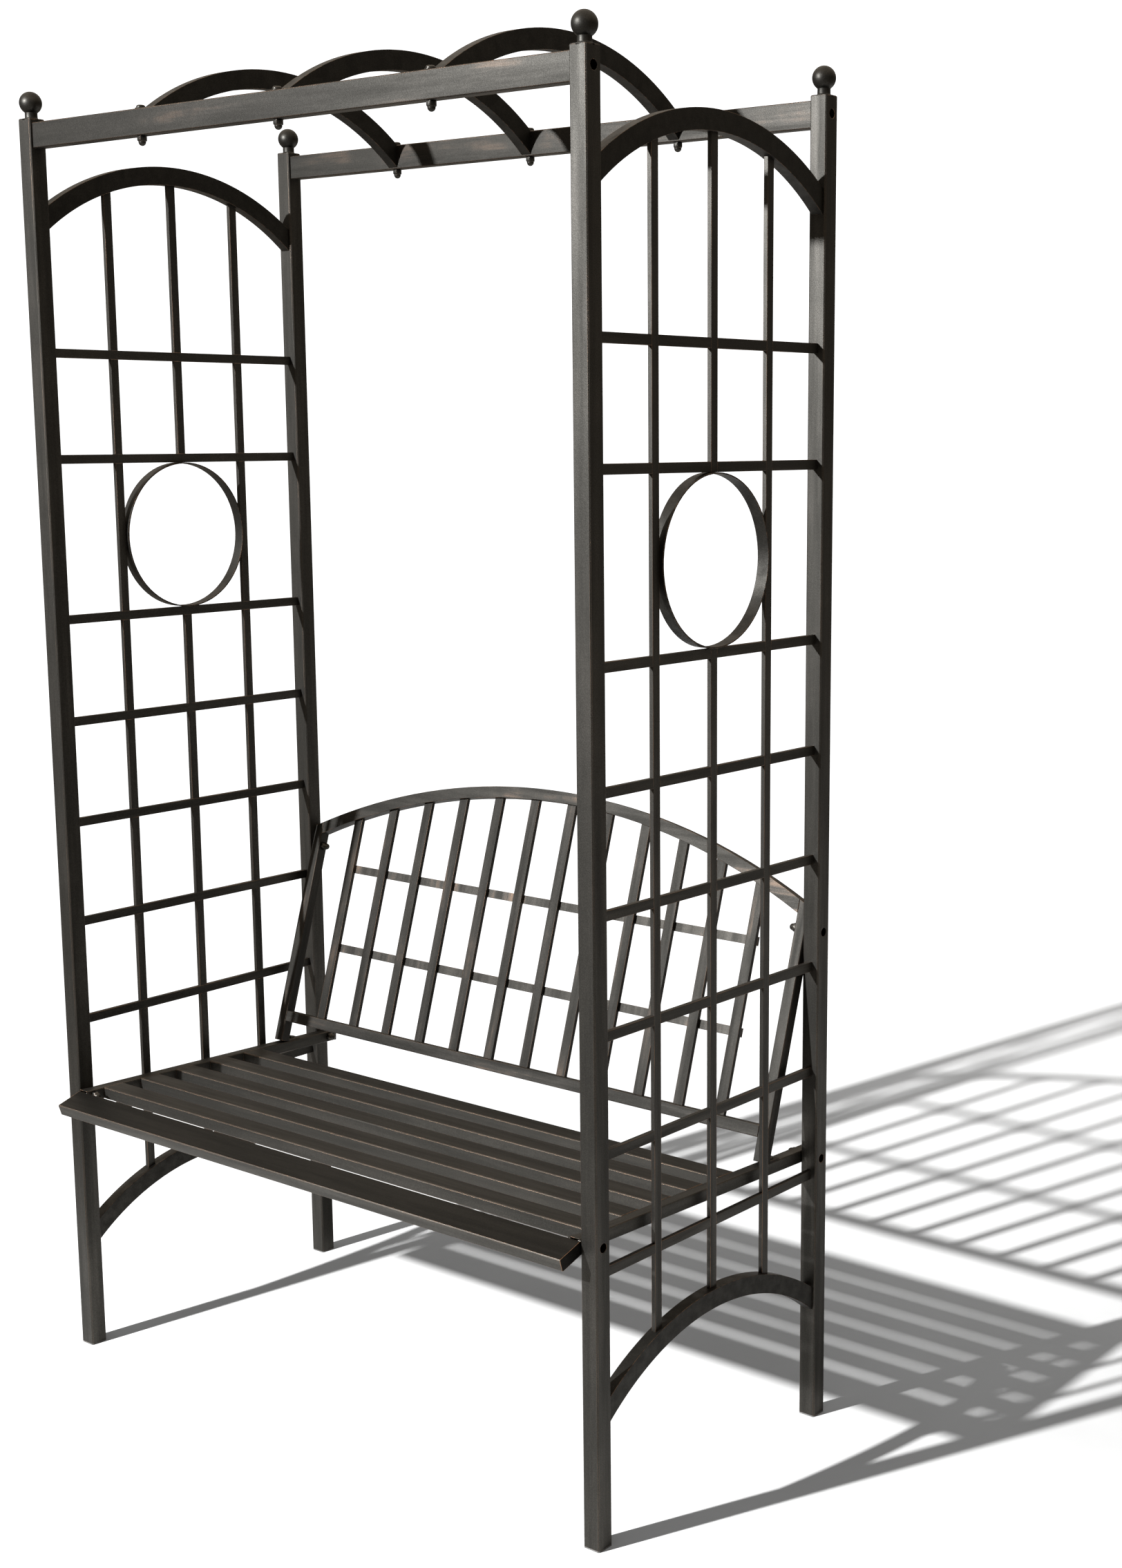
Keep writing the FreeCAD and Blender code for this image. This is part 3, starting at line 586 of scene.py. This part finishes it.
def domed_nuts():
    """Cap nuts, hanging under the top rails or looking inward on the seat rails and the back."""
    loops = [(circle, NUT_BORE, 0.0), (circle, NUT_HALF - NUT_FOOT, 0.0),
             (hexagon, NUT_HALF, NUT_LOW), (hexagon, NUT_HALF, NUT_HIGH),
             (circle, NUT_HALF - NUT_SHOULDER[0], NUT_HIGH + NUT_SHOULDER[1]),
             (circle, NUT_DOME, NUT_HIGH + NUT_COLLAR)]
    for step in range(1, NUT_DOME_STEPS):
        turn = math.pi / 2 * step / NUT_DOME_STEPS
        loops.append((circle, NUT_DOME * math.cos(turn), NUT_DOME_BASE + NUT_DOME * math.sin(turn)))
    stacks = []
    for low, high in solids_of("cap_nuts"):
        middle = (low + high) / 2
        if middle.z > UNDER_ROOF:
            place = pointed((middle.x, middle.y, high.z), (0, 0, -1))
        else:
            side = -1.0 if middle.x > 0 else 1.0
            place = pointed((high.x if side < 0 else low.x, middle.y, middle.z), (side, 0, 0))
        stacks.append((place, loops))
    return stacks


# The frame bolts' heads carry painted light, paler than the rest of the coat
stand_in("socket_bolts", socket_bolts(), head_paint_and_painted_light, "frame_bolts")
stand_in("domed_bolts", domed_bolts(), bolt_paint, "roof_bolts")
stand_in("round_washers", round_washers(), bolt_paint, "roof_washers", ring=True)
stand_in("domed_nuts", domed_nuts(), bolt_paint, "cap_nuts")


# Camera at the photograph's angle

CAMERA_PLACE = (2.48269, -2.47125, 1.61306)
CAMERA_TURN = (80.0353, -0.1408, 36.9914)
CAMERA_LENS = 49.185
SENSOR_WIDTH = 36.0
CAMERA_SHIFT = (-0.10746, 0.01164)


def add_camera():
    data = bpy.data.cameras.new("camera")
    data.sensor_width = SENSOR_WIDTH
    data.lens = CAMERA_LENS
    data.shift_x, data.shift_y = CAMERA_SHIFT
    camera = bpy.data.objects.new("camera", data)
    camera.location = CAMERA_PLACE
    camera.rotation_euler = Euler([math.radians(angle) for angle in CAMERA_TURN], "XYZ")
    bpy.context.scene.collection.objects.link(camera)
    bpy.context.scene.camera = camera


# Floor: plain, with painted light that makes it a little brighter far behind the seat where the lamp's
# light falls off, and fading out past the shadow on every side

FLOOR_TINT = (1.05, 1.02, 0.97)
FLOOR_TONES = (0.32, 0.34)
FLOOR_ROUGHNESS = 0.9
FLOOR_SPECULAR = 0.1
FAR_FLOOR = (0.3, 4.5)
FAR_FLOOR_PAINTED_LIGHT = 2.8
FADE_X = (-1.5, -1.0, 1.9, 3.0)
FADE_Y = (-1.5, -0.5, 4.9, 5.9)


def floor_paint():
    material, tree, shader = shader_tree("floor_white")
    coords = object_place(tree)
    axes = axes_of(tree, coords)
    tone = ramp(tree, noise(tree, coords, FLOOR_CLOUDS), TONE_FADE, FLOOR_TONES)
    # Painted light: the floor's colour rises far behind the seat, where the lamp's light falls off
    tone = times(tree, tone, ramp(tree, axes["Y"], FAR_FLOOR, (1.0, FAR_FLOOR_PAINTED_LIGHT)))
    grey = tree.nodes.new("ShaderNodeCombineColor")
    for channel, share in enumerate(FLOOR_TINT):
        tree.links.new(times(tree, tone, share), grey.inputs[channel])
    tree.links.new(grey.outputs["Color"], shader.inputs["Base Color"])
    shader.inputs["Roughness"].default_value = FLOOR_ROUGHNESS
    shader.inputs["Specular IOR Level"].default_value = FLOOR_SPECULAR
    solid = 1.0
    for axis, fade in (("X", FADE_X), ("Y", FADE_Y)):
        solid = times(tree, ramp(tree, axes[axis], fade[:2]), solid)
        solid = times(tree, ramp(tree, axes[axis], (fade[3], fade[2])), solid)
    tree.links.new(solid, shader.inputs["Alpha"])
    return material


def add_floor():
    near, far = FADE_Y[0], FADE_Y[3]
    left, right = FADE_X[0], FADE_X[3]
    corners = [(left, near, 0), (right, near, 0), (right, far, 0), (left, far, 0)]
    mesh = bpy.data.meshes.new("floor")
    mesh.from_pydata(corners, [], [(0, 1, 2, 3)])
    mesh.materials.append(floor_paint())
    floor = bpy.data.objects.new("floor", mesh)
    bpy.context.scene.collection.objects.link(floor)


# Light: one lamp high in front and to the left, in two shares of which the second makes no highlight

KEY_PLACE = Vector((-1.453, -4.941, 3.499))
KEY_TARGET = Vector((0, 0, 0.6))
KEY_SIZE = 0.15
KEY_COLOUR = (0.95, 0.98, 1.03)
KEY_SHARES = (("key", 780.0, True), ("key_spread", 1500.0, False))


def add_lamps():
    for name, energy, mirrored in KEY_SHARES:
        data = bpy.data.lights.new(name, "AREA")
        data.shape = "DISK"
        data.size = KEY_SIZE
        data.energy = energy
        data.color = KEY_COLOUR
        lamp = bpy.data.objects.new(name, data)
        lamp.visible_glossy = mirrored
        lamp.location = KEY_PLACE
        lamp.rotation_euler = (KEY_TARGET - KEY_PLACE).to_track_quat("-Z", "Y").to_euler()
        bpy.context.scene.collection.objects.link(lamp)


# Surround: plain white behind the object, cool light from above, and a warmer tone in reflections

WARM = (1.0, 0.88, 0.74, 1)
COOL = (0.95, 0.98, 1.03, 1)
WHITE = (1, 1, 1, 1)
BACKDROP_STRENGTH = 1.3
COOL_RISE = (-0.1, 0.95)
COOL_STRENGTH = (0.02, 0.80)
WARM_RISE = (-0.05, 0.95)
WARM_STRENGTH = (0.0, 1.25)
FLOOR_GLOW_RISE = (0.03, -0.12)
FLOOR_GLOW = (0.0, 0.34)


def background(tree, colour, strength):
    node = tree.nodes.new("ShaderNodeBackground")
    node.inputs["Color"].default_value = colour
    feed(tree, node.inputs["Strength"], strength)
    return node.outputs["Background"]


def add_surround():
    world = bpy.data.worlds.new("surround")
    world.use_nodes = True
    bpy.context.scene.world = world
    tree = world.node_tree
    tree.nodes.clear()
    height = axes_of(tree, tree.nodes.new("ShaderNodeTexCoord").outputs["Generated"])["Z"]
    glow = ramp(tree, height, FLOOR_GLOW_RISE, FLOOR_GLOW)
    glow = math_node(tree, "ADD", ramp(tree, height, WARM_RISE, WARM_STRENGTH), glow)
    warm = background(tree, WARM, glow)
    cool = background(tree, COOL, ramp(tree, height, COOL_RISE, COOL_STRENGTH))
    backdrop = background(tree, WHITE, BACKDROP_STRENGTH)
    path = tree.nodes.new("ShaderNodeLightPath")
    surround = warm
    for ray, light in (("Is Diffuse Ray", cool), ("Is Camera Ray", backdrop)):
        choose = tree.nodes.new("ShaderNodeMixShader")
        tree.links.new(path.outputs[ray], choose.inputs["Fac"])
        tree.links.new(surround, choose.inputs[1])
        tree.links.new(light, choose.inputs[2])
        surround = choose.outputs["Shader"]
    output = tree.nodes.new("ShaderNodeOutputWorld")
    tree.links.new(surround, output.inputs["Surface"])


add_camera()
add_floor()
add_lamps()
add_surround()
bpy.context.scene.view_settings.view_transform = "Standard"
